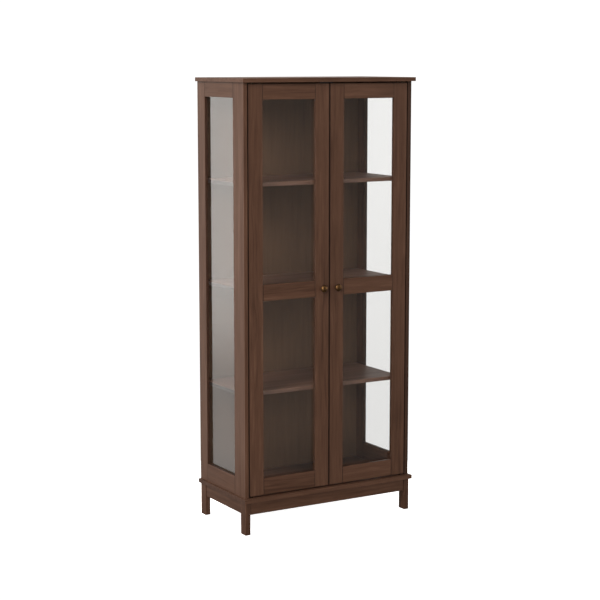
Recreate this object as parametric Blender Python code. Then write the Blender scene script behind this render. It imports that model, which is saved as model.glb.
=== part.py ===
"""China cabinet with two glass doors, free standing.

A case of stained wood stands on four legs joined by aprons. Each side is a frame of two
stiles and two rails round one tall pane. Two inset doors, each with three rails and two
panes, turn on pins at their top and bottom edges, and a magnetic catch holds them shut.

Units are metres. +Z is up, +X is to the right of a person who faces the doors, and -Y
points at that person. The origin is on the floor, under the middle of the whole object.
"""
import math

import bmesh
import bpy
from mathutils import Matrix, Vector

# Overall size
HEIGHT = 1.810
SLAB_WIDTH = 0.800
SLAB_THICKNESS = 0.016
SIDE_OVERHANG = 0.010
FRONT_OVERHANG = 0.017
CASE_DEPTH = 0.388
GAP = 0.0003                    # between two pieces that touch

# Base
LEG_HEIGHT = 0.133
LEG_WIDTH = 0.022
LEG_DEPTH = 0.040
LEG_PROUD_SIDE = 0.002          # beyond the case's side
LEG_PROUD_FRONT = 0.005         # beyond the case's front
LEG_SHY_REAR = 0.006            # short of the case's rear
APRON_HEIGHT = 0.051
APRON_THICKNESS = 0.016
APRON_SETBACK = 0.003           # behind the legs' faces

# Side frames
SIDE_THICKNESS = 0.016
SIDE_FRONT_STILE = 0.086
SIDE_REAR_STILE = 0.063
SIDE_TOP_RAIL = 0.060
SIDE_BOTTOM_RAIL = 0.074
SIDE_GLASS_RECESS = 0.0125      # from the outer face to the rebate's shoulder

# Doors
DOOR_THICKNESS = 0.020
DOOR_SIDE_GAP = 0.0045          # beside each door, and between the two
DOOR_END_GAP = 0.006            # over and under each door
DOOR_STILE = 0.063
DOOR_TOP_RAIL = 0.061
DOOR_MIDDLE_RAIL = 0.065
DOOR_BOTTOM_RAIL = 0.068
MIDDLE_RAIL_CENTRE_Z = 0.9715
DOOR_GLASS_RECESS = 0.0152      # from the door's face to the rebate's shoulder

# Tenons: stub tenons on the rails and aprons, in mortises in the stiles and legs
TENON_THICKNESS = 0.006
TENON_FROM_FACE = 0.005         # in front of the rebate
TENON_SHOULDER = 0.010          # above and below it
TENON_ROOT = 0.002              # inside the rail it grows from
STILE_TENON = 0.020
LEG_TENON = 0.012

# Panes
GLASS_THICKNESS = 0.003
REBATE_WIDTH = 0.008

# Back panel and shelves
BACK_THICKNESS = 0.006
BACK_REBATE = 0.008
SHELF_THICKNESS = 0.016
SHELF_SETBACK = 0.048           # behind the case's front
SHELF_END_CLEARANCE = 0.001
SHELF_BACK_CLEARANCE = 0.002
MIDDLE_SHELF_TOP_Z = 0.986
SHELF_PITCH = 0.417

# Shelf pins and the holes they stand in
PIN_RADIUS = 0.0025
PIN_HOLE_RADIUS = 0.0028
PIN_HOLE_DEPTH = 0.009
PIN_REACH = 0.009               # under the shelf
PIN_INSERT = 0.0085             # inside the hole
PIN_FRONT_Y = 0.068             # both from the case's front
PIN_REAR_Y = 0.350
HOLE_PITCH = 0.032
SPARE_HOLES_EACH_WAY = 2

# Door pivots
PIVOT_FROM_EDGE = 0.016
PIVOT_FROM_FACE = 0.008
PIVOT_RADIUS = 0.003
PIVOT_HOLE_RADIUS = 0.0033
PIVOT_IN_SLAB = 0.010
PIVOT_IN_DOOR = 0.012
PIVOT_COLLAR_RADIUS = 0.0045    # the collar fills the gap and carries the door
BUSH_RADIUS = 0.0046
BUSH_LENGTH = 0.015
BUSH_HOLE_DEPTH = 0.0135

# Knobs
KNOB_REACH = 0.025
KNOB_HEAD_RADIUS = 0.015
KNOB_HEAD_HALF_DEPTH = 0.008
KNOB_NECK_RADIUS = 0.005
KNOB_ROSE_RADIUS = 0.0075
KNOB_ROSE_THICKNESS = 0.002
KNOB_ROSE_SLOPE = 0.001         # from the rose up to the neck
KNOB_SPIGOT_RADIUS = 0.0022
KNOB_SPIGOT_LENGTH = 0.014
KNOB_HOLE_RADIUS = 0.0025

# Magnetic catch
CATCH_HALF_WIDTH = 0.028
CATCH_DEPTH = 0.013
CATCH_HEIGHT = 0.021
MAGNET_RADIUS = 0.0042
MAGNET_PROUD = 0.001
MAGNET_X = 0.016
STRIKE_WIDTH = 0.016
STRIKE_HEIGHT = 0.014
STRIKE_THICKNESS = 0.001
STRIKE_DROP = 0.001             # below the door's top edge

# Places worked out from the sizes above
REAR_Y = (KNOB_REACH + CASE_DEPTH) / 2
FRONT_Y = REAR_Y - CASE_DEPTH
CASE_HALF = SLAB_WIDTH / 2 - SIDE_OVERHANG
INNER_HALF = CASE_HALF - SIDE_THICKNESS
PLINTH_TOP = LEG_HEIGHT + GAP + SLAB_THICKNESS
CASE_TOP = HEIGHT - SLAB_THICKNESS
SIDE_LOW = PLINTH_TOP + GAP
SIDE_HIGH = CASE_TOP - GAP
DOOR_LOW = PLINTH_TOP + DOOR_END_GAP
DOOR_HIGH = CASE_TOP - DOOR_END_GAP
DOOR_REAR_Y = FRONT_Y + DOOR_THICKNESS
BACK_FRONT_Y = REAR_Y - BACK_REBATE + GAP
SIDES = {"left": -1, "right": 1}
SHELF_TOPS = {
    "lower": MIDDLE_SHELF_TOP_Z - SHELF_PITCH,
    "middle": MIDDLE_SHELF_TOP_Z,
    "upper": MIDDLE_SHELF_TOP_Z + SHELF_PITCH,
}

# Finishes: linear colour, roughness, metallic, transmission
WOOD = ((0.125, 0.068, 0.044), 0.45, 0.0, 0.0)
GLASS = ((0.93, 0.95, 0.94), 0.02, 0.0, 1.0)
BRONZE = ((0.20, 0.12, 0.06), 0.30, 1.0, 0.0)
STEEL = ((0.55, 0.55, 0.56), 0.35, 1.0, 0.0)
PLASTIC = ((0.05, 0.035, 0.028), 0.50, 0.0, 0.0)

ROUND_STEPS = 24
HOLE_STEPS = 16
DOME_STEPS = 12
SHARP_ANGLE = math.radians(35)
CUTTER_OVERRUN = 0.001          # how far a cutter starts outside the face it enters


def clear_scene():
    for old in list(bpy.data.objects):
        bpy.data.objects.remove(old, do_unlink=True)


def material(name, finish):
    """A Principled material of the piece's own."""
    colour, roughness, metallic, transmission = finish
    made = bpy.data.materials.new(name + "_finish")
    made.use_nodes = True
    shader = made.node_tree.nodes["Principled BSDF"]
    shader.inputs["Base Color"].default_value = (*colour, 1.0)
    shader.inputs["Roughness"].default_value = roughness
    shader.inputs["Metallic"].default_value = metallic
    shader.inputs["Transmission Weight"].default_value = transmission
    return made


def add_object(name, mesh_builder, place, finish=None, axis=None):
    """Link a mesh as an object at a world place, on a door's axis if one is given."""
    mesh = bpy.data.meshes.new(name)
    mesh_builder.to_mesh(mesh)
    mesh_builder.free()
    made = bpy.data.objects.new(name, mesh)
    bpy.context.collection.objects.link(made)
    made.parent = axis
    made.location = Vector(place) - (axis.location if axis else Vector())
    if finish:
        mesh.materials.append(material(name, finish))
    else:
        made.hide_render = True
        made.display_type = "WIRE"
    return made


def block(name, low, high, finish=None, axis=None):
    """A rectangular piece between two opposite corners, or a cutter if it has no finish."""
    low, high = Vector(low), Vector(high)
    build = bmesh.new()
    bmesh.ops.create_cube(build, size=1.0, matrix=Matrix.Diagonal((*(high - low), 1.0)))
    return add_object(name, build, (low + high) / 2, finish, axis)


def mirrored_block(name, side, near, far, low, high, finish, axis=None):
    """A block given by its distances from the middle plane, on the left or the right."""
    x_low, x_high = sorted((side * near, side * far))
    return block(name, (x_low, low[0], low[1]), (x_high, high[0], high[1]), finish, axis)


def arc(centre, radii, start, end, steps):
    """Points of an elliptical arc in a profile's (radius, height) plane, angles in radians."""
    angles = [start + (end - start) * i / steps for i in range(steps + 1)]
    return [(centre[0] + radii[0] * math.cos(a), centre[1] + radii[1] * math.sin(a)) for a in angles]


def turned(name, profile, place, direction, finish=None, axis=None, steps=ROUND_STEPS):
    """A round piece: a profile of (radius, height) points, turned about a direction."""
    build = bmesh.new()
    points = [build.verts.new((radius, 0.0, height)) for radius, height in profile]
    edges = [build.edges.new(pair) for pair in zip(points, points[1:])]
    bmesh.ops.spin(
        build, geom=points + edges, cent=(0, 0, 0), axis=(0, 0, 1),
        angle=2 * math.pi, steps=steps, use_merge=True,
    )
    bmesh.ops.remove_doubles(build, verts=build.verts[:], dist=1e-6)
    bmesh.ops.recalc_face_normals(build, faces=build.faces[:])
    turn = Vector((0, 0, 1)).rotation_difference(Vector(direction)).to_matrix()
    bmesh.ops.transform(build, matrix=turn.to_4x4(), verts=build.verts[:])
    made = add_object(name, build, place, finish, axis)
    made.data.shade_smooth()
    made.data.set_sharp_from_angle(angle=SHARP_ANGLE)
    return made


def rod_profile(radius, start, end):
    return [(0, start), (radius, start), (radius, end), (0, end)]


def bores(name, places, direction, radius, depth, steps=HOLE_STEPS):
    """One cutter for several round holes: each runs from just outside its place inwards."""
    turn = Vector((0, 0, 1)).rotation_difference(Vector(direction)).to_matrix().to_4x4()
    build = bmesh.new()
    for place in places:
        middle = Vector(place) + Vector(direction) * (depth - CUTTER_OVERRUN) / 2
        bmesh.ops.create_cone(
            build, cap_ends=True, segments=steps, radius1=radius, radius2=radius,
            depth=depth + CUTTER_OVERRUN, matrix=Matrix.Translation(middle) @ turn,
        )
    return add_object(name, build, (0, 0, 0))


def cut(piece, *cutters):
    for cutter in cutters:
        modifier = piece.modifiers.new(cutter.name, "BOOLEAN")
        modifier.operation = "DIFFERENCE"
        modifier.solver = "EXACT"
        modifier.object = cutter


def join(piece, *additions):
    for addition in additions:
        modifier = piece.modifiers.new(addition.name, "BOOLEAN")
        modifier.operation = "UNION"
        modifier.solver = "EXACT"
        modifier.object = addition


def tenon(rail, holder, side, near, far, low, high):
    """A stub tenon on a rail, and its mortise in the stile or leg that holds it."""
    name = f"{rail.name}_in_{holder.name}"
    join(rail, mirrored_block(name + "_tenon", side, near, far, low, high, None))
    cut(holder, mirrored_block(name + "_mortise", side, near - GAP, far + GAP,
                               (low[0] - GAP, low[1] - GAP), (high[0] + GAP, high[1] + GAP), None))


def pivot_place(side, z):
    """A point on a door's turning axis."""
    return Vector((side * (INNER_HALF - DOOR_SIDE_GAP - PIVOT_FROM_EDGE), FRONT_Y + PIVOT_FROM_FACE, z))


def make_slab(name, low_z, pivot_face_z, pivot_direction):
    """The top or the plinth panel, with a blind hole for each door's pin."""
    slab = block(
        name, (-SLAB_WIDTH / 2, FRONT_Y - FRONT_OVERHANG, low_z),
        (SLAB_WIDTH / 2, REAR_Y, low_z + SLAB_THICKNESS), WOOD,
    )
    mouths = [pivot_place(side, pivot_face_z) for side in SIDES.values()]
    cut(slab, bores(name + "_bores", mouths, pivot_direction, PIVOT_HOLE_RADIUS,
                    PIVOT_IN_SLAB + GAP, ROUND_STEPS))


def make_base():
    """Four legs, and four aprons tenoned between them."""
    outer = CASE_HALF + LEG_PROUD_SIDE
    inner = outer - LEG_WIDTH
    front = FRONT_Y - LEG_PROUD_FRONT
    rear = REAR_Y - LEG_SHY_REAR
    low_z, high_z = LEG_HEIGHT - APRON_HEIGHT, LEG_HEIGHT
    tenon_z = (low_z + TENON_SHOULDER, high_z - TENON_SHOULDER)
    side_face = outer - APRON_SETBACK
    side_tenon = side_face - TENON_FROM_FACE - TENON_THICKNESS

    side_aprons = {
        name: mirrored_block(f"{name}_apron", side, side_face - APRON_THICKNESS, side_face,
                             (front + LEG_DEPTH + GAP, low_z), (rear - LEG_DEPTH - GAP, high_z), WOOD)
        for name, side in SIDES.items()
    }
    for end, leg_y, mouth_y, inward in (
        ("front", front, front + LEG_DEPTH, 1), ("rear", rear - LEG_DEPTH, rear - LEG_DEPTH, -1),
    ):
        apron_y = front + APRON_SETBACK if end == "front" else rear - APRON_SETBACK - APRON_THICKNESS
        apron = block(f"{end}_apron", (-inner + GAP, apron_y, low_z),
                      (inner - GAP, apron_y + APRON_THICKNESS, high_z), WOOD)
        for name, side in SIDES.items():
            leg = mirrored_block(f"{end}_{name}_leg", side, inner, outer, (leg_y, 0.0),
                                 (leg_y + LEG_DEPTH, LEG_HEIGHT), WOOD)
            tenon(apron, leg, side, inner - TENON_ROOT, inner + LEG_TENON,
                  (apron_y + TENON_FROM_FACE, tenon_z[0]),
                  (apron_y + TENON_FROM_FACE + TENON_THICKNESS, tenon_z[1]))
            ends = sorted((mouth_y - inward * LEG_TENON, mouth_y + inward * TENON_ROOT))
            tenon(side_aprons[name], leg, side, side_tenon, side_tenon + TENON_THICKNESS,
                  (ends[0], tenon_z[0]), (ends[1], tenon_z[1]))


def pin_height(shelf):
    return SHELF_TOPS[shelf] - SHELF_THICKNESS - GAP - PIN_RADIUS


def pin_hole_places(side, y):
    """Hole mouths up one stile: each adjustable shelf's pin, with spare holes above and below."""
    places = []
    for shelf in ("lower", "upper"):
        for step in range(-SPARE_HOLES_EACH_WAY, SPARE_HOLES_EACH_WAY + 1):
            places.append((side * INNER_HALF, y, pin_height(shelf) + step * HOLE_PITCH))
    return places


def make_side(name, side):
    """One side frame with its pane, the holes for shelf pins and the rebate for the back."""
    front_end = FRONT_Y + SIDE_FRONT_STILE
    rear_start = REAR_Y - SIDE_REAR_STILE
    sill = SIDE_LOW + SIDE_BOTTOM_RAIL
    head = SIDE_HIGH - SIDE_TOP_RAIL

    def member(label, low, high):
        return mirrored_block(f"{name}_side_{label}", side, INNER_HALF, CASE_HALF, low, high, WOOD)

    front_stile = member("front_stile", (FRONT_Y, SIDE_LOW), (front_end, SIDE_HIGH))
    rear_stile = member("rear_stile", (rear_start, SIDE_LOW), (REAR_Y, SIDE_HIGH))
    top_rail = member("top_rail", (front_end + GAP, head), (rear_start - GAP, SIDE_HIGH))
    bottom_rail = member("bottom_rail", (front_end + GAP, SIDE_LOW), (rear_start - GAP, sill))

    tenon_far = CASE_HALF - TENON_FROM_FACE
    for rail, low_z, high_z in ((top_rail, head, SIDE_HIGH), (bottom_rail, SIDE_LOW, sill)):
        for stile, low_y, high_y in (
            (front_stile, front_end - STILE_TENON, front_end + TENON_ROOT),
            (rear_stile, rear_start - TENON_ROOT, rear_start + STILE_TENON),
        ):
            tenon(rail, stile, side, tenon_far - TENON_THICKNESS, tenon_far,
                  (low_y, low_z + TENON_SHOULDER), (high_y, high_z - TENON_SHOULDER))

    shoulder = CASE_HALF - SIDE_GLASS_RECESS
    rebate = mirrored_block(
        f"{name}_side_rebate", side, INNER_HALF - REBATE_WIDTH, shoulder,
        (front_end - REBATE_WIDTH, sill - REBATE_WIDTH),
        (rear_start + REBATE_WIDTH, head + REBATE_WIDTH), None,
    )
    for piece in (front_stile, rear_stile, top_rail, bottom_rail):
        cut(piece, rebate)
    edge = REBATE_WIDTH - GAP
    outer_face = shoulder - GAP
    mirrored_block(
        f"{name}_side_glass", side, outer_face - GLASS_THICKNESS, outer_face,
        (front_end - edge, sill - edge), (rear_start + edge, head + edge), GLASS,
    )

    back_rebate = mirrored_block(
        f"{name}_back_rebate", side, INNER_HALF - BACK_REBATE, INNER_HALF + BACK_REBATE,
        (REAR_Y - BACK_REBATE, SIDE_LOW - BACK_REBATE),
        (REAR_Y + BACK_REBATE, SIDE_HIGH + BACK_REBATE), None,
    )
    cut(rear_stile, back_rebate)
    for piece, label, y in ((front_stile, "front", PIN_FRONT_Y), (rear_stile, "rear", PIN_REAR_Y)):
        holes = bores(f"{name}_{label}_pin_holes", pin_hole_places(side, FRONT_Y + y),
                      (side, 0, 0), PIN_HOLE_RADIUS, PIN_HOLE_DEPTH)
        cut(piece, holes)


def make_back():
    half = INNER_HALF + BACK_REBATE - GAP
    block("back_panel", (-half, BACK_FRONT_Y, SIDE_LOW),
          (half, BACK_FRONT_Y + BACK_THICKNESS, SIDE_HIGH), WOOD)


def make_shelves():
    """Three shelves. The upper and the lower one rest on four pins each."""
    half = INNER_HALF - SHELF_END_CLEARANCE
    for name, top in SHELF_TOPS.items():
        block(f"{name}_shelf", (-half, FRONT_Y + SHELF_SETBACK, top - SHELF_THICKNESS),
              (half, BACK_FRONT_Y - SHELF_BACK_CLEARANCE, top), WOOD)
    for shelf in ("lower", "upper"):
        for end, y in (("front", PIN_FRONT_Y), ("rear", PIN_REAR_Y)):
            for name, side in SIDES.items():
                place = (side * INNER_HALF, FRONT_Y + y, pin_height(shelf))
                turned(f"{shelf}_shelf_{end}_{name}_pin",
                       rod_profile(PIN_RADIUS, -PIN_REACH, PIN_INSERT),
                       place, (side, 0, 0), STEEL, steps=HOLE_STEPS)


def knob_profile():
    """From the spigot's end to the crown: spigot, rose, neck and a domed head."""
    head_centre = KNOB_REACH - KNOB_HEAD_HALF_DEPTH
    under_head = -math.acos(KNOB_NECK_RADIUS / KNOB_HEAD_RADIUS)
    head = arc((0, head_centre), (KNOB_HEAD_RADIUS, KNOB_HEAD_HALF_DEPTH), under_head, math.pi / 2,
               DOME_STEPS)
    return [
        (0, -KNOB_SPIGOT_LENGTH), (KNOB_SPIGOT_RADIUS, -KNOB_SPIGOT_LENGTH),
        (KNOB_SPIGOT_RADIUS, GAP), (KNOB_ROSE_RADIUS, GAP),
        (KNOB_ROSE_RADIUS, KNOB_ROSE_THICKNESS), (KNOB_NECK_RADIUS, KNOB_ROSE_THICKNESS + KNOB_ROSE_SLOPE),
        *head[:-1], (0, KNOB_REACH),
    ]


def make_door(name, side):
    """One door: two stiles, three rails, two panes, knob, pivot bushes and strike plate."""
    axis = bpy.data.objects.new(f"{name}_door_axis", None)
    bpy.context.collection.objects.link(axis)
    axis.location = pivot_place(side, DOOR_LOW)
    bpy.context.view_layer.update()

    outer = INNER_HALF - DOOR_SIDE_GAP
    outer_inside = outer - DOOR_STILE
    inner = DOOR_SIDE_GAP / 2
    inner_inside = inner + DOOR_STILE
    middle_low = MIDDLE_RAIL_CENTRE_Z - DOOR_MIDDLE_RAIL / 2
    middle_high = MIDDLE_RAIL_CENTRE_Z + DOOR_MIDDLE_RAIL / 2
    sill = DOOR_LOW + DOOR_BOTTOM_RAIL
    head = DOOR_HIGH - DOOR_TOP_RAIL

    def member(label, near, far, low_z, high_z):
        return mirrored_block(f"{name}_door_{label}", side, near, far,
                              (FRONT_Y, low_z), (DOOR_REAR_Y, high_z), WOOD, axis)

    outer_stile = member("outer_stile", outer_inside, outer, DOOR_LOW, DOOR_HIGH)
    inner_stile = member("inner_stile", inner, inner_inside, DOOR_LOW, DOOR_HIGH)
    rail_near, rail_far = inner_inside + GAP, outer_inside - GAP
    top_rail = member("top_rail", rail_near, rail_far, head, DOOR_HIGH)
    middle_rail = member("middle_rail", rail_near, rail_far, middle_low, middle_high)
    bottom_rail = member("bottom_rail", rail_near, rail_far, DOOR_LOW, sill)

    tenon_y = FRONT_Y + TENON_FROM_FACE
    for rail, low_z, high_z in (
        (top_rail, head, DOOR_HIGH), (middle_rail, middle_low, middle_high), (bottom_rail, DOOR_LOW, sill),
    ):
        for stile, near, far in (
            (inner_stile, inner_inside - STILE_TENON, inner_inside + TENON_ROOT),
            (outer_stile, outer_inside - TENON_ROOT, outer_inside + STILE_TENON),
        ):
            tenon(rail, stile, side, near, far, (tenon_y, low_z + TENON_SHOULDER),
                  (tenon_y + TENON_THICKNESS, high_z - TENON_SHOULDER))

    shoulder = FRONT_Y + DOOR_GLASS_RECESS
    panes = {"lower": (sill, middle_low, bottom_rail), "upper": (middle_high, head, top_rail)}
    for label, (low_z, high_z, end_rail) in panes.items():
        rebate = mirrored_block(
            f"{name}_{label}_rebate", side, inner_inside - REBATE_WIDTH, outer_inside + REBATE_WIDTH,
            (shoulder, low_z - REBATE_WIDTH), (DOOR_REAR_Y + REBATE_WIDTH, high_z + REBATE_WIDTH), None,
        )
        for piece in (outer_stile, inner_stile, middle_rail, end_rail):
            cut(piece, rebate)
        edge = REBATE_WIDTH - GAP
        mirrored_block(
            f"{name}_door_{label}_glass", side, inner_inside - edge, outer_inside + edge,
            (shoulder + GAP, low_z - edge), (shoulder + GAP + GLASS_THICKNESS, high_z + edge),
            GLASS, axis,
        )

    knob_place = (side * (inner + DOOR_STILE / 2), FRONT_Y, MIDDLE_RAIL_CENTRE_Z)
    cut(inner_stile, bores(f"{name}_knob_bore", [knob_place], (0, 1, 0), KNOB_HOLE_RADIUS,
                           DOOR_THICKNESS + CUTTER_OVERRUN))
    turned(f"{name}_knob", knob_profile(), knob_place, (0, -1, 0), BRONZE, axis)

    bush_radius = BUSH_RADIUS + GAP
    for end, z, inward in (("bottom", DOOR_LOW, 1), ("top", DOOR_HIGH, -1)):
        mouth = pivot_place(side, z)
        cut(outer_stile, bores(f"{name}_{end}_bush_bore", [mouth], (0, 0, inward), bush_radius,
                               BUSH_LENGTH + GAP, ROUND_STEPS))
        turned(
            f"{name}_door_{end}_bush",
            [(0, BUSH_HOLE_DEPTH), (PIVOT_HOLE_RADIUS, BUSH_HOLE_DEPTH), (PIVOT_HOLE_RADIUS, 0),
             (BUSH_RADIUS, 0), (BUSH_RADIUS, BUSH_LENGTH), (0, BUSH_LENGTH)],
            mouth, (0, 0, inward), BRONZE, axis,
        )

    plate_middle = side * MAGNET_X
    plate_high = DOOR_HIGH - STRIKE_DROP
    block(
        f"{name}_strike_plate",
        (plate_middle - STRIKE_WIDTH / 2, DOOR_REAR_Y + GAP, plate_high - STRIKE_HEIGHT),
        (plate_middle + STRIKE_WIDTH / 2, DOOR_REAR_Y + GAP + STRIKE_THICKNESS, plate_high),
        STEEL, axis,
    )


def make_pivots():
    """Each door's two pins: fixed in the slab, standing in the door's bush."""
    collar_end = DOOR_END_GAP - GAP
    pin_end = DOOR_END_GAP + PIVOT_IN_DOOR
    for name, side in SIDES.items():
        for end, z, towards_door in (("bottom", PLINTH_TOP, 1), ("top", CASE_TOP, -1)):
            turned(
                f"{name}_{end}_hinge_pin",
                [(0, -PIVOT_IN_SLAB), (PIVOT_RADIUS, -PIVOT_IN_SLAB), (PIVOT_RADIUS, GAP),
                 (PIVOT_COLLAR_RADIUS, GAP), (PIVOT_COLLAR_RADIUS, collar_end),
                 (PIVOT_RADIUS, collar_end), (PIVOT_RADIUS, pin_end), (0, pin_end)],
                pivot_place(side, z), (0, 0, towards_door), BRONZE,
            )


def make_catch():
    """A double magnetic catch under the top panel, one magnet for each door."""
    strike_rear = DOOR_REAR_Y + GAP + STRIKE_THICKNESS
    front = strike_rear + GAP + MAGNET_PROUD
    top = CASE_TOP - GAP
    body = block("magnetic_catch", (-CATCH_HALF_WIDTH, front, top - CATCH_HEIGHT),
                 (CATCH_HALF_WIDTH, front + CATCH_DEPTH, top), PLASTIC)
    magnet_z = DOOR_HIGH - STRIKE_DROP - STRIKE_HEIGHT / 2
    for name, side in SIDES.items():
        magnet = turned(f"{name}_magnet", rod_profile(MAGNET_RADIUS, -MAGNET_PROUD, CATCH_DEPTH / 2),
                        (side * MAGNET_X, front, magnet_z), (0, 1, 0))
        join(body, magnet)


def main():
    clear_scene()
    make_slab("plinth_panel", LEG_HEIGHT + GAP, PLINTH_TOP, (0, 0, -1))
    make_slab("top_panel", CASE_TOP, CASE_TOP, (0, 0, 1))
    make_base()
    for name, side in SIDES.items():
        make_side(name, side)
        make_door(name, side)
    make_back()
    make_shelves()
    make_pivots()
    make_catch()


main()
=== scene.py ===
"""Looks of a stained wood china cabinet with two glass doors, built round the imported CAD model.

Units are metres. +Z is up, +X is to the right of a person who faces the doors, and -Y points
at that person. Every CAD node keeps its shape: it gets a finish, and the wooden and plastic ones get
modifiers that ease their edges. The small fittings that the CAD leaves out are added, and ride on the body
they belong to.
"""
import math
from collections import namedtuple

import bmesh
import bpy
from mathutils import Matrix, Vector


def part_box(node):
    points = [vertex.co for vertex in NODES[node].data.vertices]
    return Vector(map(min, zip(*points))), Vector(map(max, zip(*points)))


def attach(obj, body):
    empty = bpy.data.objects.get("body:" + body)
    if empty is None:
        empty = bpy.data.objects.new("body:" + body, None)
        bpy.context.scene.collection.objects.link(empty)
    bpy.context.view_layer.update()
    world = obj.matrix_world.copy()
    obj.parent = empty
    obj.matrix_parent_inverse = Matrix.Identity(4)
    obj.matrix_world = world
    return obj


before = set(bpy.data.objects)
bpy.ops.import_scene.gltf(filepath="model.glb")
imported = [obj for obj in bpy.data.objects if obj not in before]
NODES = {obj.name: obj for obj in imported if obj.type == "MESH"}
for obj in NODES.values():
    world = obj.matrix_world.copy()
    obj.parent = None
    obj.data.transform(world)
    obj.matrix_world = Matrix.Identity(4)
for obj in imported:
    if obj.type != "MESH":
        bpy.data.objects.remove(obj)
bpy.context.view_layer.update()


# ---------------------------------------------------------------- node helpers
class Tree:
    """A node tree with short ways to add a node and to link it."""

    def __init__(self, owner):
        owner.use_nodes = True
        self.tree = owner.node_tree
        self.tree.nodes.clear()

    def add(self, kind, inputs=None, **settings):
        """A node, with its settings, and its inputs set to values or linked to other outputs."""
        made = self.tree.nodes.new("ShaderNode" + kind)
        for name, value in settings.items():
            setattr(made, name, value)
        for key, value in (inputs or {}).items():
            self.put(made.inputs[key], value)
        return made

    def put(self, socket, value):
        if isinstance(value, bpy.types.NodeSocket):
            self.tree.links.new(value, socket)
        else:
            socket.default_value = value

    def maths(self, operation, *values):
        made = self.add("Math", dict(enumerate(values)), operation=operation)
        return made.outputs[0]

    def vector(self, operation, *values):
        made = self.add("VectorMath", dict(enumerate(values)), operation=operation)
        return made.outputs[0]

    def span(self, value, low, high, to_low=0.0, to_high=1.0):
        """A value's range, eased from one span to another."""
        made = self.add("MapRange", {0: value, 1: low, 2: high, 3: to_low, 4: to_high},
                        interpolation_type="SMOOTHSTEP")
        return made.outputs[0]

    def noise(self, place, scale, detail=2.0, roughness=0.5):
        made = self.add("TexNoise", {"Vector": place, "Scale": scale, "Detail": detail,
                                     "Roughness": roughness})
        return made.outputs[0]

    def blend(self, factor, first, second, how="MIX"):
        """Two colours mixed by a factor."""
        made = self.add("Mix", data_type="RGBA", blend_type=how)
        self.put(made.inputs[0], factor)
        self.put(made.inputs[6], first)
        self.put(made.inputs[7], second)
        return made.outputs[2]


def grey(value):
    return (value, value, value, 1.0)


# ---------------------------------------------------------------- wood
WOOD_DARK = (0.0320, 0.0140, 0.0078, 1.0)
WOOD_MIDDLE = (0.0645, 0.0310, 0.0186, 1.0)
WOOD_LIGHT = (0.1020, 0.0515, 0.0325, 1.0)
# lighter brown of the edges: rubbed stain and a painted highlight
WOOD_EDGE_WEAR_AND_HIGHLIGHT = (0.1150, 0.0600, 0.0390, 1.0)
# dark brown of end grain and pores, also used as painted shade inside the frames' openings
WOOD_END_GRAIN_AND_SHADE = (0.0260, 0.0112, 0.0064, 1.0)
# painted shade in the gaps round the doors
RIM_SHADE = (0.0120, 0.0052, 0.0032, 1.0)
# dark brown of the butted joints, also used as painted shade beside the doors and at the shelves' ends
DARK_JOINT_AND_SHADE = (0.0070, 0.0030, 0.0018, 1.0)
ALONG = {"x": 0, "y": 1, "z": 2}

BOARD_STEP = (2.63, 4.41, 1.37)     # from one member's place in the board to the next one's
GRAIN_STRETCH = 0.045               # how much slower the figure changes along the grain
BEND_STRETCH = 0.35
BEND_SCALE = 5.0
BEND_REACH = 0.045                  # how far a fibre strays sideways
BOARD_SCALE = 11.0                  # the figure's noises across the grain, from coarse to fine
STREAK_SCALE = 46.0
LINE_SCALE = 130.0
FIBRE_SCALE = 330.0
PORE_SCALE = 900.0
RING_WAVE = 95.0                    # radians of the growth lines to one unit of the board's noise

RIM = (0.0012, 0.0024)              # how wide a frame's outermost strip of painted shade is, and where it has faded
RIM_SHADE_LINE = 0.75                     # how much of the rim's painted shade its front edge shows
DOOR_THICKNESS = 0.020
STRIP_FADE = 0.002                  # over which the painted shade strip beside a door fades
# how dark the painted shade in that strip is
STRIP_SHADE = 0.9
WEAR_AND_HIGHLIGHT_EDGE = (0.0009, 0.0024)        # how wide the lighter strip along an edge is, rubbed stain and a painted highlight, and where it fades
WEAR_AND_HIGHLIGHT_UNEVEN = 0.0016
WEAR_AND_HIGHLIGHT_SHARE = 0.28
JOINT_WIDTH = (0.0014, 0.0034)      # the same for the dark line at a butted end
JOINT_STAIN = 0.95
FAR = 0.05                          # added to the depth from an end that butts, as it has no edge

# How a member took the stain, and the light painted into it. paler: a factor that paints its
# colours paler, as painted light on the top panel, the shelves and the back panel. figure: the strength
# of its grain. end_stain, end_colour: how far its end grain goes towards a darker colour; on
# the shelves this is painted shade. sheen: the lacquer's specular level. sawn: its ends are left matt.
Stain = namedtuple("Stain", "paler figure end_stain end_colour sheen sawn")
STAINS = {
    "frame": Stain((1.0, 1.0, 1.0), 0.80, 0.55, WOOD_END_GRAIN_AND_SHADE, 0.12, False),
    "top_panel": Stain((1.18, 1.18, 1.18), 0.80, 0.30, WOOD_END_GRAIN_AND_SHADE, 0.12, False),
    "shelf": Stain((1.58, 1.72, 1.95), 0.60, 0.97, DARK_JOINT_AND_SHADE, 0.40, True),
    "back_panel": Stain((1.24, 1.50, 1.54), 0.32, 0.55, WOOD_END_GRAIN_AND_SHADE, 0.12, False),
}

# A door or a side frame. face: the axis it looks along. reveal_stain: how much painted shade
# darkens the faces inside its openings. rim_stain: the same for its outer edges, in the gaps. low, high: its
# box.
PaneFrame = namedtuple("PaneFrame", "face reveal_stain rim_stain low high")


def depth_in_box(t, place, low, high):
    """How deep a point lies in a box, from the nearer side on each axis."""
    middle = (low + high) / 2
    half = (high - low) / 2
    depth = t.vector("SUBTRACT", half, t.vector("ABSOLUTE", t.vector("SUBTRACT", place, middle)))
    return t.add("SeparateXYZ", {0: depth}).outputs


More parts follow.
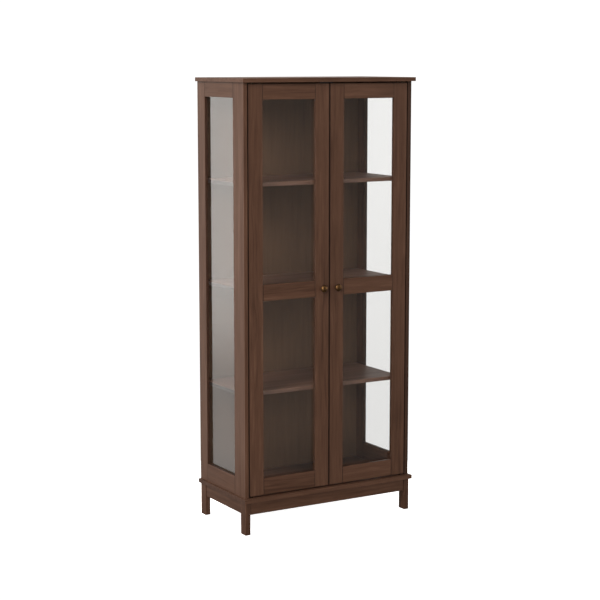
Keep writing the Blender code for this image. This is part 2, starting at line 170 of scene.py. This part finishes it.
def wood_figure(t, moved, along, figure):
    """Stained pine, with its fibres along one axis: its colour, streaks, fibres and pores."""
    def stretched(length):
        scale = [1.0, 1.0, 1.0]
        scale[along] = length
        return t.vector("MULTIPLY", moved, scale)

    # slow bends of the fibres, so that no streak runs dead straight
    bend = t.noise(stretched(BEND_STRETCH), BEND_SCALE, 2.0)
    bend_by = t.maths("MULTIPLY", t.maths("SUBTRACT", bend, 0.5), BEND_REACH)
    across = [1.0, 1.0, 1.0]
    across[along] = 0.0
    sideways = t.add("VectorMath", {0: across, "Scale": bend_by}, operation="SCALE").outputs[0]
    bent = t.vector("ADD", stretched(GRAIN_STRETCH), sideways)
    board = t.noise(bent, BOARD_SCALE, 2.0)
    streaks = t.noise(bent, STREAK_SCALE, 3.0, 0.55)
    lines = t.noise(bent, LINE_SCALE, 3.0, 0.6)
    fibres = t.noise(bent, FIBRE_SCALE, 3.0, 0.6)
    pores = t.noise(bent, PORE_SCALE, 2.0, 0.6)

    # growth lines: bands that follow a slow noise across the board
    rings = t.maths("SINE", t.maths("MULTIPLY", board, RING_WAVE))
    rings = t.span(rings, 0.1, 1.0)

    tone = t.maths("ADD", t.maths("MULTIPLY", board, 0.26), t.maths("MULTIPLY", streaks, 0.36))
    tone = t.maths("ADD", tone, t.maths("MULTIPLY", lines, 0.38))
    # a weak figure stays near the middle tone, 0.5
    tone = t.maths("ADD", t.maths("MULTIPLY", tone, figure), 0.5 - 0.5 * figure)
    colour = t.blend(t.span(tone, 0.36, 0.52), WOOD_DARK, WOOD_MIDDLE)
    colour = t.blend(t.span(tone, 0.50, 0.66), colour, WOOD_LIGHT)
    colour = t.blend(t.maths("MULTIPLY", rings, 0.15 * figure), colour, WOOD_DARK)
    colour = t.blend(t.span(fibres, 0.42, 0.62, 0.25 * figure, 0.0), colour, WOOD_DARK)
    colour = t.blend(t.span(pores, 0.30, 0.40, 0.45 * figure, 0.0), colour, WOOD_END_GRAIN_AND_SHADE)
    return colour, streaks, fibres, pores


def frame_painted_shade(t, colour, place, normal, pane_frame):
    """Painted shade inside a frame's openings and on its outer edges, in the gaps. Gives the colour and the
    rim.
    """
    face = ALONG[pane_frame.face]
    turned_away = t.span(t.maths("ABSOLUTE", normal[face]), 0.25, 0.55, 1.0, 0.0)
    depths = depth_in_box(t, place, pane_frame.low, pane_frame.high)
    first, second = [depths[i] for i in range(3) if i != face]
    rim = t.span(t.maths("MINIMUM", first, second), *RIM, 1.0, 0.0)
    # painted shade on the faces inside the openings
    reveal = t.maths("MULTIPLY", turned_away, t.maths("SUBTRACT", 1.0, rim))
    colour = t.blend(t.maths("MULTIPLY", reveal, pane_frame.reveal_stain), colour, WOOD_END_GRAIN_AND_SHADE)
    # painted shade on the outer edges, in the gaps round the doors
    outside = t.maths("MULTIPLY", turned_away, rim)
    colour = t.blend(t.maths("MULTIPLY", outside, pane_frame.rim_stain), colour, RIM_SHADE)
    if pane_frame.face == "x":
        # painted shade on the strip inside, beside the door's edge
        inwards = -1.0 if pane_frame.low.x + pane_frame.high.x > 0 else 1.0
        faces_in = t.maths("MULTIPLY", normal[0], inwards)
        strip_end = pane_frame.low.y + DOOR_THICKNESS
        beside_door = t.span(t.add("SeparateXYZ", {0: place}).outputs[1],
                             strip_end, strip_end + STRIP_FADE, 1.0, 0.0)
        hidden = t.maths("MULTIPLY", t.span(faces_in, 0.5, 0.8), beside_door)
        colour = t.blend(t.maths("MULTIPLY", hidden, STRIP_SHADE), colour, DARK_JOINT_AND_SHADE)
    return colour, rim


def wood_material(name, along, low, high, number, jointed, pane_frame, stain):
    """Stained, lacquered pine for one member of the cabinet, with painted light and shade in its colour.

    along: the axis of its box that its grain follows.
    number: which piece of the board it is cut from.
    jointed: its ends butt against other members, with a fine dark line between them.
    pane_frame: the door or side frame that it belongs to, or None.
    """
    made = bpy.data.materials.new(f"stained_wood_{name}")
    t = Tree(made)
    place = t.add("TexCoord").outputs["Object"]
    moved = t.vector("ADD", place, Vector([step * number for step in BOARD_STEP]))
    colour, streaks, fibres, pores = wood_figure(t, moved, along, stain.figure)
    # painted light: the top panel and the members inside are made paler
    colour = t.blend(1.0, colour, (*stain.paler, 1.0), "MULTIPLY")
    normal = t.add("SeparateXYZ", {0: t.add("TexCoord").outputs["Normal"]}).outputs
    if pane_frame is not None:
        colour, rim = frame_painted_shade(t, colour, place, normal, pane_frame)

    # the nearest edge of the member's box is as far off as the middle one of its three depths
    depths = depth_in_box(t, place, low, high)
    a, b, c = [t.maths("ADD", depth, FAR) if jointed and i == along else depth
               for i, depth in enumerate(depths)]
    nearer = t.maths("MINIMUM", a, b)
    edge_depth = t.maths("MAXIMUM", nearer, t.maths("MINIMUM", t.maths("MAXIMUM", a, b), c))
    # a lighter strip along the edges: partly rubbed stain, partly a painted highlight
    rubbed = t.maths("ADD", edge_depth, t.maths("MULTIPLY", t.noise(moved, 70.0, 3.0), WEAR_AND_HIGHLIGHT_UNEVEN))
    wear_and_highlight = t.span(rubbed, *WEAR_AND_HIGHLIGHT_EDGE, 1.0, 0.0)
    colour = t.blend(t.maths("MULTIPLY", wear_and_highlight, WEAR_AND_HIGHLIGHT_SHARE), colour, WOOD_EDGE_WEAR_AND_HIGHLIGHT)
    if pane_frame is not None:
        # painted shade along the arris that runs beside a gap
        colour = t.blend(t.maths("MULTIPLY", rim, RIM_SHADE_LINE * pane_frame.rim_stain), colour, RIM_SHADE)

    # end grain drinks more stain, and sawn ends are left matt. The shelves' ends are painted nearly black,
    # as painted shade.
    end = t.span(t.maths("ABSOLUTE", normal[along]), 0.75, 0.95)
    colour = t.blend(t.maths("MULTIPLY", end, stain.end_stain), colour, stain.end_colour)
    if jointed:
        line = t.span(depths[along], *JOINT_WIDTH, JOINT_STAIN, 0.0)
        colour = t.blend(line, colour, DARK_JOINT_AND_SHADE)

    rough = t.span(streaks, 0.3, 0.7, 0.50, 0.42)
    rough = t.maths("ADD", rough, t.maths("MULTIPLY", t.noise(moved, 14.0, 3.0), 0.05))
    if stain.sawn:
        rough = t.maths("MAXIMUM", rough, end)
    relief = t.maths("ADD", t.maths("MULTIPLY", fibres, 0.6), t.maths("MULTIPLY", pores, 0.4))
    bump = t.add("Bump", {"Strength": 0.22, "Distance": 0.0004, "Height": relief})
    shader = t.add("BsdfPrincipled", {
        "Base Color": colour, "Roughness": rough, "Normal": bump.outputs[0],
        "Specular IOR Level": stain.sheen,
    })
    t.add("OutputMaterial", {0: shader.outputs[0]})
    return made


# ---------------------------------------------------------------- glass and metals
GLASS_TINT = (0.990, 0.990, 0.982, 1.0)
GLASS_CLEAR = (0.965, 0.965, 0.96, 1.0)
GLASS_IOR = 1.5
PUTTY_IOR = 1.0                     # at the edges light goes on unbent, into the rebate


def glass_material(name, face):
    """Clear float glass with faint wiped smears. Lamps and diffuse light pass straight through.

    Its edges are bedded in clear putty in the rebates, so that they mirror no light.
    face: the axis that the panes look along.
    """
    made = bpy.data.materials.new(name)
    t = Tree(made)
    place = t.add("TexCoord").outputs["Object"]
    smears = t.noise(t.vector("MULTIPLY", place, (1.0, 1.0, 0.45)), 9.0, 4.0)
    normal = t.add("SeparateXYZ", {0: t.add("TexCoord").outputs["Normal"]}).outputs
    in_pane = t.span(t.maths("ABSOLUTE", normal[ALONG[face]]), 0.3, 0.6)
    shader = t.add("BsdfPrincipled", {
        "Base Color": GLASS_TINT, "IOR": t.span(in_pane, 0.0, 1.0, PUTTY_IOR, GLASS_IOR),
        "Transmission Weight": 1.0,
        "Roughness": t.span(smears, 0.55, 0.80, 0.0, 0.012),
    })
    clear = t.add("BsdfTransparent", {"Color": GLASS_CLEAR})
    ray = t.add("LightPath").outputs
    bounced = t.add("MixShader", {0: ray["Is Diffuse Ray"], 1: shader.outputs[0], 2: clear.outputs[0]})
    lit = t.add("MixShader", {0: ray["Is Shadow Ray"], 1: bounced.outputs[0], 2: clear.outputs[0]})
    t.add("OutputMaterial", {0: lit.outputs[0]})
    return made


def metal_material(name, colour, dark, rough, patina):
    """Cast or turned metal: a darker patina in patches, with rubbed, smoother spots."""
    made = bpy.data.materials.new(name)
    t = Tree(made)
    place = t.add("TexCoord").outputs["Object"]
    patches = t.noise(place, 180.0, 4.0, 0.6)
    grain = t.noise(place, 1500.0, 2.0)
    tint = t.blend(t.span(patches, 0.40, 0.66, 0.0, patina), colour, dark)
    roughness = t.maths("ADD", t.span(patches, 0.35, 0.7, rough, rough + 0.14),
                        t.maths("MULTIPLY", grain, 0.05))
    bump = t.add("Bump", {"Strength": 0.10, "Distance": 0.0002, "Height": grain})
    shader = t.add("BsdfPrincipled", {"Base Color": tint, "Metallic": 1.0, "Roughness": roughness,
                                      "Normal": bump.outputs[0]})
    t.add("OutputMaterial", {0: shader.outputs[0]})
    return made


def plastic_material(name, colour, light):
    """Moulded plastic with a fine sparked texture."""
    made = bpy.data.materials.new(name)
    t = Tree(made)
    place = t.add("TexCoord").outputs["Object"]
    spark = t.noise(place, 1400.0, 2.0)
    cloud = t.noise(place, 60.0, 3.0)
    tint = t.blend(t.span(cloud, 0.35, 0.65), colour, light)
    bump = t.add("Bump", {"Strength": 0.25, "Distance": 0.0002, "Height": spark})
    shader = t.add("BsdfPrincipled", {"Base Color": tint, "Roughness": t.span(spark, 0.3, 0.7, 0.38, 0.55),
                                      "Normal": bump.outputs[0]})
    t.add("OutputMaterial", {0: shader.outputs[0]})
    return made


DOOR_GLASS = glass_material("clear_door_glass", "y")
SIDE_GLASS = glass_material("clear_side_glass", "x")
BRONZE = metal_material("antique_bronze", (0.115, 0.060, 0.024, 1.0), (0.020, 0.010, 0.006, 1.0),
                        rough=0.30, patina=0.85)
BLACKENED = metal_material("blackened_bronze", (0.040, 0.024, 0.014, 1.0), (0.012, 0.008, 0.005, 1.0),
                           rough=0.45, patina=0.6)
STEEL = metal_material("plated_steel", (0.56, 0.56, 0.57, 1.0), (0.36, 0.36, 0.38, 1.0),
                       rough=0.28, patina=0.5)
CATCH = plastic_material("brown_plastic", (0.016, 0.010, 0.007, 1.0), (0.024, 0.016, 0.012, 1.0))


# ---------------------------------------------------------------- finishes of the CAD nodes
WELD = 0.00002
FLAT_ANGLE = math.radians(1.0)
EDGE_ANGLE = math.radians(40.0)
BEVEL_SEGMENTS = 2
WOOD_EASING = 0.0009
PLASTIC_EASING = 0.0008
DOOR_PAINTED_SHADE = (0.74, 0.95)           # painted shade of a frame's reveals and of its rim
# the side frames' painted shade, of their reveals and of their rims
SIDE_PAINTED_SHADE = {"left": (0.94, 0.0), "right": (0.94, 0.40)}


def grain_axis(name):
    """The way a member's fibres run: along its length."""
    if name.endswith(("stile", "leg", "back_panel")):
        return ALONG["z"]
    if name in ("left_apron", "right_apron") or "_side_" in name:
        return ALONG["y"]
    return ALONG["x"]


def holders(name):
    """The two upright members that a rail or an apron is tenoned into."""
    end = name.split("_")[0]
    if "_door_" in name:
        return f"{end}_door_inner_stile", f"{end}_door_outer_stile"
    if "_side_" in name:
        return f"{end}_side_front_stile", f"{end}_side_rear_stile"
    if end in ("front", "rear"):
        return f"{end}_left_leg", f"{end}_right_leg"
    return f"front_{end}_leg", f"rear_{end}_leg"


def shown_box(name, along, jointed):
    """A member's box, without the tenons that are hidden in the uprights."""
    low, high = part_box(name)
    if jointed:
        first, second = sorted((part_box(holder) for holder in holders(name)), key=lambda box: box[0][along])
        low[along] = first[1][along]
        high[along] = second[0][along]
    return low, high


def eased(piece, width):
    """Rounds a CAD node's edges without touching its mesh."""
    weld = piece.modifiers.new("weld", "WELD")
    weld.merge_threshold = WELD
    flat = piece.modifiers.new("flat_faces", "DECIMATE")
    flat.decimate_type = "DISSOLVE"
    flat.angle_limit = FLAT_ANGLE
    bevel = piece.modifiers.new("eased_edges", "BEVEL")
    bevel.width = width
    bevel.segments = BEVEL_SEGMENTS
    bevel.limit_method = "ANGLE"
    bevel.angle_limit = EDGE_ANGLE
    bevel.harden_normals = True
    normals = piece.modifiers.new("normals", "WEIGHTED_NORMAL")
    normals.keep_sharp = False


def pane_frame_of(name):
    """The door or side frame that a member belongs to, or None."""
    side = name.split("_")[0]
    if "_door_" in name:
        group, face, dark = f"{side}_door_", "y", DOOR_PAINTED_SHADE
    elif "_side_" in name:
        group, face, dark = f"{side}_side_", "x", SIDE_PAINTED_SHADE[side]
    else:
        return None
    boxes = [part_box(other) for other in NODES if other.startswith(group)]
    low = Vector([min(box[0][i] for box in boxes) for i in range(3)])
    high = Vector([max(box[1][i] for box in boxes) for i in range(3)])
    return PaneFrame(face, *dark, low, high)


def stain_of(name):
    """How a member took the stain, and the light painted into its colour."""
    if name.endswith("_shelf"):
        return STAINS["shelf"]
    return STAINS.get(name, STAINS["frame"])


def finish_nodes():
    """Gives every CAD node its material, and eases the edges of wood and plastic."""
    wood_count = 0
    for name, piece in sorted(NODES.items()):
        slot = piece.material_slots[0]
        kind = slot.material.name.split(".")[0]
        if kind == "stained_wood":
            wood_count += 1
            jointed = name.endswith(("rail", "apron"))
            along = grain_axis(name)
            low, high = shown_box(name, along, jointed)
            slot.material = wood_material(name, along, low, high, wood_count, jointed,
                                          pane_frame_of(name), stain_of(name))
            eased(piece, WOOD_EASING)
        elif kind == "glass":
            slot.material = DOOR_GLASS if "_door_" in name else SIDE_GLASS
        elif kind == "bronze":
            slot.material = BRONZE if name.endswith("knob") else BLACKENED
        elif kind == "steel":
            slot.material = STEEL
        elif kind == "catch_plastic":
            slot.material = CATCH
            eased(piece, PLASTIC_EASING)


finish_nodes()


# ---------------------------------------------------------------- small fittings
SMOOTH_ANGLE = math.radians(38.0)


def add_piece(name, build, finish, body):
    """Makes one piece of a mesh, which rides on a body."""
    bmesh.ops.recalc_face_normals(build, faces=build.faces[:])
    mesh = bpy.data.meshes.new(name)
    build.to_mesh(mesh)
    build.free()
    mesh.shade_smooth()
    mesh.set_sharp_from_angle(angle=SMOOTH_ANGLE)
    mesh.materials.append(finish)
    made = bpy.data.objects.new(name, mesh)
    bpy.context.scene.collection.objects.link(made)
    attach(made, body)


HEAD_STEPS = 16
# a pan head's outline, as shares of its radius and height; the last ring is the recess's mouth
HEAD_OUTLINE = ((1.0, 0.0), (1.0, 0.30), (0.90, 0.66), (0.70, 0.92), (0.46, 1.0))
RECESS_RADIUS = 0.36
RECESS_FLOOR = 0.40


def add_head(build, place, direction, size):
    """A pan head with a cross recess, its flat side on a place and its top in a direction."""
    radius, height = size
    turn = Vector((0, 0, 1)).rotation_difference(Vector(direction)).to_matrix()

    def vert(share, angle, level):
        local = Vector((share * radius * math.cos(angle), share * radius * math.sin(angle), level * height))
        return build.verts.new(Vector(place) + turn @ local)

    angles = [2 * math.pi * step / HEAD_STEPS for step in range(HEAD_STEPS)]
    rings = [[vert(share, angle, level) for angle in angles] for share, level in HEAD_OUTLINE]
    # every fourth point sinks: these are the arms of the cross
    rings.append([vert(RECESS_RADIUS, angle, RECESS_FLOOR if step % 4 == 0 else 1.0)
                  for step, angle in enumerate(angles)])
    centre = vert(0.0, 0.0, RECESS_FLOOR)
    build.faces.new(list(reversed(rings[0])))
    for outer, inner in zip(rings, rings[1:]):
        for step in range(HEAD_STEPS):
            following = (step + 1) % HEAD_STEPS
            build.faces.new((outer[step], outer[following], inner[following], inner[step]))
    for step in range(HEAD_STEPS):
        build.faces.new((rings[-1][step], rings[-1][(step + 1) % HEAD_STEPS], centre))


# places across a clip, as shares of its width, and how far its plate reaches there
CLIP_SECTIONS = ((-0.5, 0.92), (-0.42, 1.0), (0.42, 1.0), (0.5, 0.92))


def add_clip(build, place, along, out, outline, width):
    """A clip: an outline in the (along, out) plane, drawn out sideways, with its corners cut off."""
    along, out = Vector(along), Vector(out)
    side = along.cross(out)
    rings = []
    for offset, scale in CLIP_SECTIONS:
        ring = []
        for a, o in outline:
            reach = a * scale if a < 0 else a
            ring.append(build.verts.new(Vector(place) + along * reach + out * o + side * offset * width))
        rings.append(ring)
    build.faces.new(rings[0])
    build.faces.new(list(reversed(rings[-1])))
    for first, second in zip(rings, rings[1:]):
        for step in range(len(outline)):
            following = (step + 1) % len(outline)
            build.faces.new((first[following], first[step], second[step], second[following]))


PLATE = 0.0012                      # a clip's thickness
CLIP_BASE = 0.010                   # on the stile
CLIP_REACH = 0.0055                 # over the pane, inside the rebate
CLIP_WIDTH = 0.011
CLIP_BEND_TOP = (0.0006, 0.0016)    # where the bend starts and ends, past the rebate's edge
CLIP_BEND_UNDER = (0.0002, 0.0014)
CLIP_HEIGHTS = (0.22, 0.78)         # up a pane, as shares of its height
CLIP_SCREW_AT = 0.55                # along the base
REBATE = 0.008
CLEAR = 0.0001
DOOR_SINK = 0.0013                  # from the door's rear face down to its pane
REARWARDS = Vector((0, 1, 0))

# radius and height of each kind of head
CLIP_SCREW = (0.0026, 0.0013)
CATCH_SCREW = (0.0026, 0.0013)
KNOB_SCREW = (0.0042, 0.0024)
RIVET = (0.0010, 0.0002)
NAIL = (0.0022, 0.0005)

RIVET_INSET = 0.0016
CATCH_SCREW_INSET = 0.006
CATCH_SCREW_BACK = 0.001
NAIL_MARGIN = 0.0045
NAIL_ROWS = 12
NAIL_COLUMNS = 5


def clip_outline():
    """A flat plate that steps down to where it holds the pane."""
    top, under = PLATE + CLEAR, CLEAR
    return ((-CLIP_BASE, under), (-CLIP_BASE, top),
            (CLIP_BEND_TOP[0], top), (CLIP_BEND_TOP[1], top - DOOR_SINK),
            (CLIP_REACH, top - DOOR_SINK), (CLIP_REACH, under - DOOR_SINK),
            (CLIP_BEND_UNDER[1], under - DOOR_SINK), (CLIP_BEND_UNDER[0], under))


def add_pane_clips(door):
    """Clips up both stiles of a door, two to a pane on each side, and their screws."""
    heights = []
    for pane in ("lower", "upper"):
        low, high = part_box(f"{door}_{pane}_glass")
        heights += [low.z + (high.z - low.z) * share for share in CLIP_HEIGHTS]
    stiles = [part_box(f"{door}_{which}_stile") for which in ("inner", "outer")]
    left, right = sorted(stiles, key=lambda box: box[0].x)
    plates, screws = bmesh.new(), bmesh.new()
    for edge, towards in ((left[1].x, 1), (right[0].x, -1)):
        along = Vector((towards, 0, 0))
        for z in heights:
            place = Vector((edge - towards * REBATE, left[1].y, z))
            add_clip(plates, place, along, REARWARDS, clip_outline(), CLIP_WIDTH)
            head = place - along * CLIP_BASE * CLIP_SCREW_AT + REARWARDS * (PLATE + 2 * CLEAR)
            add_head(screws, head, REARWARDS, CLIP_SCREW)
    add_piece(f"{door}_glass_clips", plates, CATCH, door)
    add_piece(f"{door}_clip_screws", screws, STEEL, door)


def add_knob_screw(side, door):
    """The screw that holds a knob, on the back of the door."""
    low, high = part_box(f"{side}_knob")
    stile_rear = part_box(f"{door}_inner_stile")[1].y
    build = bmesh.new()
    add_head(build, ((low.x + high.x) / 2, stile_rear + CLEAR, (low.z + high.z) / 2), REARWARDS, KNOB_SCREW)
    add_piece(f"{side}_knob_screw", build, STEEL, door)


def add_strike_rivets(side, door):
    """The two rivets of the plate that the catch pulls."""
    low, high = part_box(f"{side}_strike_plate")
    build = bmesh.new()
    for x in (low.x + RIVET_INSET, high.x - RIVET_INSET):
        add_head(build, (x, high.y + CLEAR / 2, (low.z + high.z) / 2), REARWARDS, RIVET)
    add_piece(f"{side}_strike_rivets", build, STEEL, door)


def add_catch_screws():
    """The two screws that hold the magnetic catch under the top panel."""
    low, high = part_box("magnetic_catch")
    build = bmesh.new()
    for x in (low.x + CATCH_SCREW_INSET, high.x - CATCH_SCREW_INSET):
        place = (x, (low.y + high.y) / 2 + CATCH_SCREW_BACK, low.z - CLEAR)
        add_head(build, place, (0, 0, -1), CATCH_SCREW)
    add_piece("catch_screws", build, STEEL, "case")


def add_back_nails():
    """Nails up both sides of the back panel, and across it into the middle shelf."""
    low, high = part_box("back_panel")
    build = bmesh.new()
    for row in range(NAIL_ROWS + 1):
        z = low.z + NAIL_MARGIN + (high.z - low.z - 2 * NAIL_MARGIN) * row / NAIL_ROWS
        for x in (low.x + NAIL_MARGIN, high.x - NAIL_MARGIN):
            add_head(build, (x, high.y + CLEAR, z), REARWARDS, NAIL)
    shelf_low, shelf_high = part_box("middle_shelf")
    for column in range(1, NAIL_COLUMNS):
        x = low.x + (high.x - low.x) * column / NAIL_COLUMNS
        add_head(build, (x, high.y + CLEAR, (shelf_low.z + shelf_high.z) / 2), REARWARDS, NAIL)
    add_piece("back_panel_nails", build, STEEL, "case")


for side in ("left", "right"):
    add_pane_clips(f"{side}_door")
    add_knob_screw(side, f"{side}_door")
    add_strike_rivets(side, f"{side}_door")
add_catch_screws()
add_back_nails()


# ---------------------------------------------------------------- floor, light and camera
WARM_WHITE = (1.0, 0.97, 0.935)
EYE_LEVEL = (-0.222, -0.12)         # heights of a direction between which the lights come up
BASE_LIGHT = 0.17
TOP_LIGHT = 0.3
REAR_LIGHT = (0.64, 1.54)           # under and over eye level
BACKDROP = 1.08                     # what the camera sees straight on
THROUGH_LOW = (-0.24, 0.96)         # what it sees through glass: height of the direction and white
THROUGH_HIGH = (-0.02, 1.09)

# A soft light round a direction. start, full: cosines of the angle at which it starts and is full.
# under, over: its strength under and over eye level.
Lobe = namedtuple("Lobe", "towards start full under over")
LOBES = (
    Lobe((-0.62, -0.78, 0.1), 0.75, 0.98, 1.3, 3.9),
    Lobe((-1.0, 0.0, 0.2), 0.3, 0.9, 0.20, 0.68),
    Lobe((0.9, -0.44, 0.1), 0.88, 0.98, 1.0, 2.8),
)

FLOOR_RADIUS = 1.0
FLOOR_SEGMENTS = 96
FLOOR_DROP = 0.0005                 # below the feet
FLOOR_GLOW = 0.90                   # towards the camera
FLOOR_RETURN = 0.18                 # how much light the floor gives back to the cabinet

LENS = 97.19                        # millimetres
SENSOR = 36.0                       # its width in millimetres
CAMERA_PLACE = (-3.385, -5.684, 1.878)
CAMERA_TILT = 8.421                 # degrees down
CAMERA_TURN = 30.550                # degrees to the right of straight towards the doors


def straight_through(t, ray):
    """1 for what is seen through glass, 0 for what is mirrored in it or lights it."""
    bounces = t.maths("ADD", ray["Glossy Depth"], ray["Diffuse Depth"])
    return t.maths("MULTIPLY", ray["Is Transmission Ray"], t.maths("LESS_THAN", bounces, 0.5))


def either(t, factor, first, second):
    """The first value where a factor is 0, the second where it is 1."""
    made = t.add("Mix", data_type="FLOAT")
    t.put(made.inputs[0], factor)
    t.put(made.inputs[2], first)
    t.put(made.inputs[3], second)
    return made.outputs[0]


def studio_world():
    """A white studio: lit from behind on the left, from the left, from the front left and from the
    right, each of these lights weaker below eye level. What the camera sees straight on is plain
    white, and what it sees through glass is white that fades a little downwards."""
    world = bpy.data.worlds.new("studio")
    bpy.context.scene.world = world
    t = Tree(world)
    way = t.add("TexCoord").outputs["Generated"]
    x, y, z = t.add("SeparateXYZ", {0: way}).outputs
    above = t.span(z, *EYE_LEVEL)
    lights = []
    for lobe in LOBES:
        cosine = t.add("VectorMath", {0: way, 1: Vector(lobe.towards).normalized()},
                       operation="DOT_PRODUCT").outputs["Value"]
        lights.append(t.maths("MULTIPLY", t.span(cosine, lobe.start, lobe.full),
                              t.span(above, 0.0, 1.0, lobe.under, lobe.over)))
    rear_light = t.maths("MULTIPLY", t.span(y, -0.2, 0.6), t.span(above, 0.0, 1.0, *REAR_LIGHT))
    lights.append(t.maths("MULTIPLY", rear_light, t.span(x, -0.2, 1.0, 1.0, 0.0)))
    lights.append(t.span(z, 0.1, 0.9, 0.0, TOP_LIGHT))
    light = BASE_LIGHT
    for part in lights:
        light = t.maths("ADD", light, part)
    ray = t.add("LightPath").outputs
    unbounced = straight_through(t, ray)
    white = t.span(z, THROUGH_LOW[0], THROUGH_HIGH[0], THROUGH_LOW[1], THROUGH_HIGH[1])
    through = either(t, unbounced, light, white)
    strength = either(t, ray["Is Camera Ray"], through, BACKDROP)
    seen = t.maths("MAXIMUM", ray["Is Camera Ray"], unbounced)
    tint = t.blend(seen, (*WARM_WHITE, 1.0), grey(1.0))
    shader = t.add("Background", {"Color": tint, "Strength": strength})
    t.add("OutputWorld", {0: shader.outputs[0]})


def studio_floor():
    """A round pale floor, matt, with a faint mottling. It gives the cabinet little light back."""
    build = bmesh.new()
    bmesh.ops.create_circle(build, cap_ends=True, segments=FLOOR_SEGMENTS, radius=FLOOR_RADIUS)
    mesh = bpy.data.meshes.new("studio_floor")
    build.to_mesh(mesh)
    build.free()
    floor = bpy.data.objects.new("studio_floor", mesh)
    bpy.context.scene.collection.objects.link(floor)
    floor.location = (0.0, 0.0, -FLOOR_DROP)
    made = bpy.data.materials.new("pale_floor")
    t = Tree(made)
    mottle = t.noise(t.add("TexCoord").outputs["Object"], 3.0, 3.0)
    pale = t.blend(t.span(mottle, 0.3, 0.7), grey(0.84), grey(0.88))
    bright = t.add("BsdfPrincipled", {
        "Base Color": pale, "Roughness": 0.85, "Specular IOR Level": 0.1,
        "Emission Color": grey(1.0), "Emission Strength": FLOOR_GLOW,
    })
    dim = t.add("BsdfDiffuse", {"Color": grey(FLOOR_RETURN)})
    ray = t.add("LightPath").outputs
    seen = t.maths("MAXIMUM", ray["Is Camera Ray"], straight_through(t, ray))
    both = t.add("MixShader", {0: seen, 1: dim.outputs[0], 2: bright.outputs[0]})
    t.add("OutputMaterial", {0: both.outputs[0]})
    mesh.materials.append(made)


def softbox(name, place, target, size, power):
    """A square lamp that lights the cabinet from near, so that its top is brighter than its foot."""
    lamp = bpy.data.lights.new(name, "AREA")
    lamp.shape = "SQUARE"
    lamp.size = size
    lamp.energy = power
    lamp.color = WARM_WHITE
    made = bpy.data.objects.new(name, lamp)
    bpy.context.scene.collection.objects.link(made)
    made.location = place
    made.rotation_euler = (Vector(target) - Vector(place)).to_track_quat("-Z", "Y").to_euler()
    made.visible_camera = False
    made.visible_transmission = False


def camera():
    """From the front left, a little above the cabinet's top, through a long lens."""
    data = bpy.data.cameras.new("camera")
    data.lens = LENS
    data.sensor_width = SENSOR
    made = bpy.data.objects.new("camera", data)
    bpy.context.scene.collection.objects.link(made)
    made.location = CAMERA_PLACE
    made.rotation_euler = (math.radians(90.0 - CAMERA_TILT), 0.0, -math.radians(CAMERA_TURN))
    bpy.context.scene.camera = made


studio_world()
studio_floor()
softbox("high_softbox", place=(-2.6, -1.3, 2.9), target=(0.0, 0.0, 1.5), size=1.0, power=85.0)
camera()

view = bpy.context.scene.view_settings
view.view_transform = "Standard"
view.look = "None"
view.exposure = 0.0
view.gamma = 1.0
